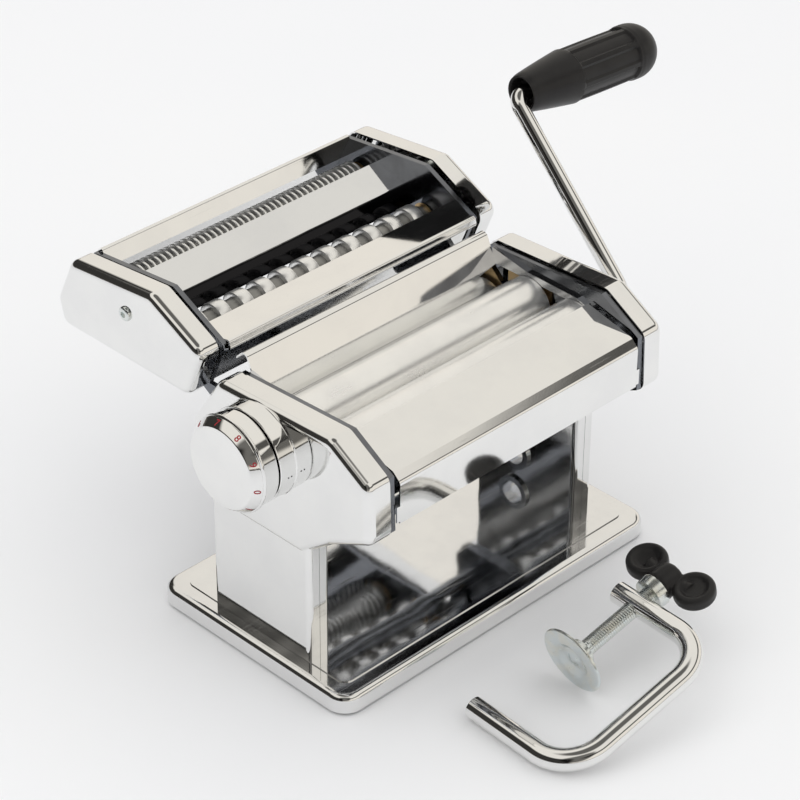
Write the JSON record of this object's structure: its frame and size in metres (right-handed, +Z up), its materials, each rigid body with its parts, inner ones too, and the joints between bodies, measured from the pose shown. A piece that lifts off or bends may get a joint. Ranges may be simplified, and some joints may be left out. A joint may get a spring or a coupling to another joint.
{
  "type": "pasta roller machine",
  "caption": "Hand-cranked pasta machine with smooth sheet rollers, thickness knob, rear cutter attachment and a loose bent-rod table clamp.",
  "frame": {"origin": "centre of the base plate's footprint at floor level, under the feet", "axes": "+X along the roller axis toward the crank, +Y to the rear toward the cutter attachment, +Z up"},
  "size_m": [0.3141, 0.2999, 0.203],
  "materials": {
    "chrome": "polished chrome plate",
    "frame_steel": "nickel-plated sheet steel",
    "roller_metal": "satin anodised",
    "gear_steel": "machined",
    "zinc": "bright zinc plate",
    "black_plastic": "moulded, fine texture",
    "white_plastic": "moulded nylon",
    "bronze": "sintered bush",
    "rubber": "moulded foot"
  },
  "bodies": {
    "machine_body": {"base_plate": "chrome", "base_feet": "rubber", "left_leg_outer": "chrome", "left_leg_inner": "chrome", "right_leg_outer": "chrome", "right_leg_inner": "chrome", "clamp_socket": "frame_steel", "left_cover": "chrome", "right_cover": "chrome", "left_side_frame": "frame_steel", "right_side_frame": "frame_steel", "dough_guides": "white_plastic", "front_hopper_plate": "chrome", "rear_hopper_plate": "chrome", "tie_rods": "frame_steel", "front_scraper": "frame_steel", "rear_scraper": "frame_steel", "cover_standoffs": "frame_steel", "roller_bushes": "bronze", "mounting_rails": "frame_steel", "drive_collar": "chrome", "knob_collar": "chrome"},
    "drive_roller": {"front_roller": "roller_metal", "front_roller_gear": "gear_steel"},
    "crank": {"crank_rod": "chrome"},
    "grip": {"crank_grip": "black_plastic"},
    "roller_carriage": {"left_bearing_block": "bronze", "right_bearing_block": "bronze", "carriage_tie_bar": "gear_steel"},
    "adjustable_roller": {"rear_roller": "roller_metal", "rear_roller_gear": "gear_steel"},
    "regulator": {"regulator_shaft": "gear_steel", "scroll_disc": "gear_steel", "knob_spring": "gear_steel"},
    "knob": {"regulator_knob": "chrome"},
    "cutter_unit": {"left_cutter_plate": "frame_steel", "right_cutter_plate": "frame_steel", "left_cutter_cover": "chrome", "right_cutter_cover": "chrome", "front_guard": "chrome", "middle_guard": "chrome", "rear_guard": "chrome", "cutter_bushes": "bronze", "cutter_collars": "chrome", "cutter_cover_screws": "zinc", "wide_comb": "frame_steel", "thin_comb": "frame_steel"},
    "clamp": {"clamp_bracket": "chrome"},
    "foot": {"clamp_foot": "zinc"},
    "screw": {"clamp_screw": "zinc", "clamp_collar": "zinc", "wing_knob": "black_plastic"},
    "wide_front_slitter": {"wide_front_cutter": "roller_metal", "wide_front_cutter_gear": "gear_steel"},
    "wide_rear_slitter": {"wide_rear_cutter": "roller_metal", "wide_rear_cutter_gear": "gear_steel"},
    "thin_front_slitter": {"thin_front_cutter": "roller_metal", "thin_front_cutter_gear": "gear_steel"},
    "thin_rear_slitter": {"thin_rear_cutter": "roller_metal", "thin_rear_cutter_gear": "gear_steel"}
  },
  "joints": [
    {"name": "roller_drive", "type": "hinge", "parent": "machine_body", "child": "drive_roller", "pos_m": [0, -0.0315, 0.1135], "axis": [1, 0, 0], "continuous": true},
    {"name": "crank_pull", "type": "slide", "parent": "drive_roller", "child": "crank", "axis": [1, 0, 0], "range_m": [0, 0.03]},
    {"name": "grip_spin", "type": "hinge", "parent": "crank", "child": "grip", "pos_m": [0.11, 0.04242, 0.19086], "axis": [0.9986, -0.0362, -0.0378], "continuous": true},
    {"name": "thickness_turn", "type": "hinge", "parent": "machine_body", "child": "regulator", "pos_m": [0, -0.00297, 0.1135], "axis": [1, 0, 0], "range_deg": [-72.05, 252.05]},
    {"name": "roller_gap", "type": "slide", "parent": "machine_body", "child": "roller_carriage", "axis": [0, 1, 0], "range_m": [-0.00093, 0.00327]},
    {"name": "rear_roller_spin", "type": "hinge", "parent": "roller_carriage", "child": "adjustable_roller", "pos_m": [0, -0.00297, 0.1135], "axis": [1, 0, 0], "continuous": true},
    {"name": "knob_pull", "type": "slide", "parent": "regulator", "child": "knob", "axis": [-1, 0, 0], "range_m": [0, 0.0035], "stiffness_N_per_m": 1500, "springref_m": -0.002, "deforming": ["knob_spring"]},
    {"name": "cutter_lift", "type": "slide", "parent": "machine_body", "child": "cutter_unit", "axis": [0, 0, 1], "range_m": [0, 0.06]},
    {"name": "clamp_lift", "type": "slide", "parent": "machine_body", "child": "clamp", "axis": [0, 0, 1], "range_m": [0, 0.1]},
    {"name": "clamp_close", "type": "slide", "parent": "clamp", "child": "foot", "axis": [0.9674, -0.0524, 0.2477], "range_m": [-0.0015, 0.028]},
    {"name": "screw_turn", "type": "hinge", "parent": "foot", "child": "screw", "pos_m": [0.02645, -0.11797, 0.02702], "axis": [0.9674, -0.0524, 0.2477], "range_deg": [-275, 5045]},
    {"name": "wide_rear_spin", "type": "hinge", "parent": "cutter_unit", "child": "wide_rear_slitter", "pos_m": [0, 0.068, 0.1295], "axis": [1, 0, 0], "continuous": true},
    {"name": "wide_front_spin", "type": "hinge", "parent": "cutter_unit", "child": "wide_front_slitter", "pos_m": [0, 0.0519, 0.1295], "axis": [1, 0, 0], "continuous": true},
    {"name": "thin_rear_spin", "type": "hinge", "parent": "cutter_unit", "child": "thin_rear_slitter", "pos_m": [0, 0.112, 0.1341], "axis": [1, 0, 0], "continuous": true},
    {"name": "thin_front_spin", "type": "hinge", "parent": "cutter_unit", "child": "thin_front_slitter", "pos_m": [0, 0.0959, 0.1341], "axis": [1, 0, 0], "continuous": true}
  ],
  "couplings": [
    {"joint": "thickness_turn", "follows": "roller_gap", "rad_per_m": 1346.4},
    {"joint": "rear_roller_spin", "follows": "roller_drive", "ratio": -1},
    {"joint": "screw_turn", "follows": "clamp_close", "rad_per_m": 3141.6},
    {"joint": "wide_front_spin", "follows": "wide_rear_spin", "ratio": -1},
    {"joint": "thin_front_spin", "follows": "thin_rear_spin", "ratio": -1}
  ]
}
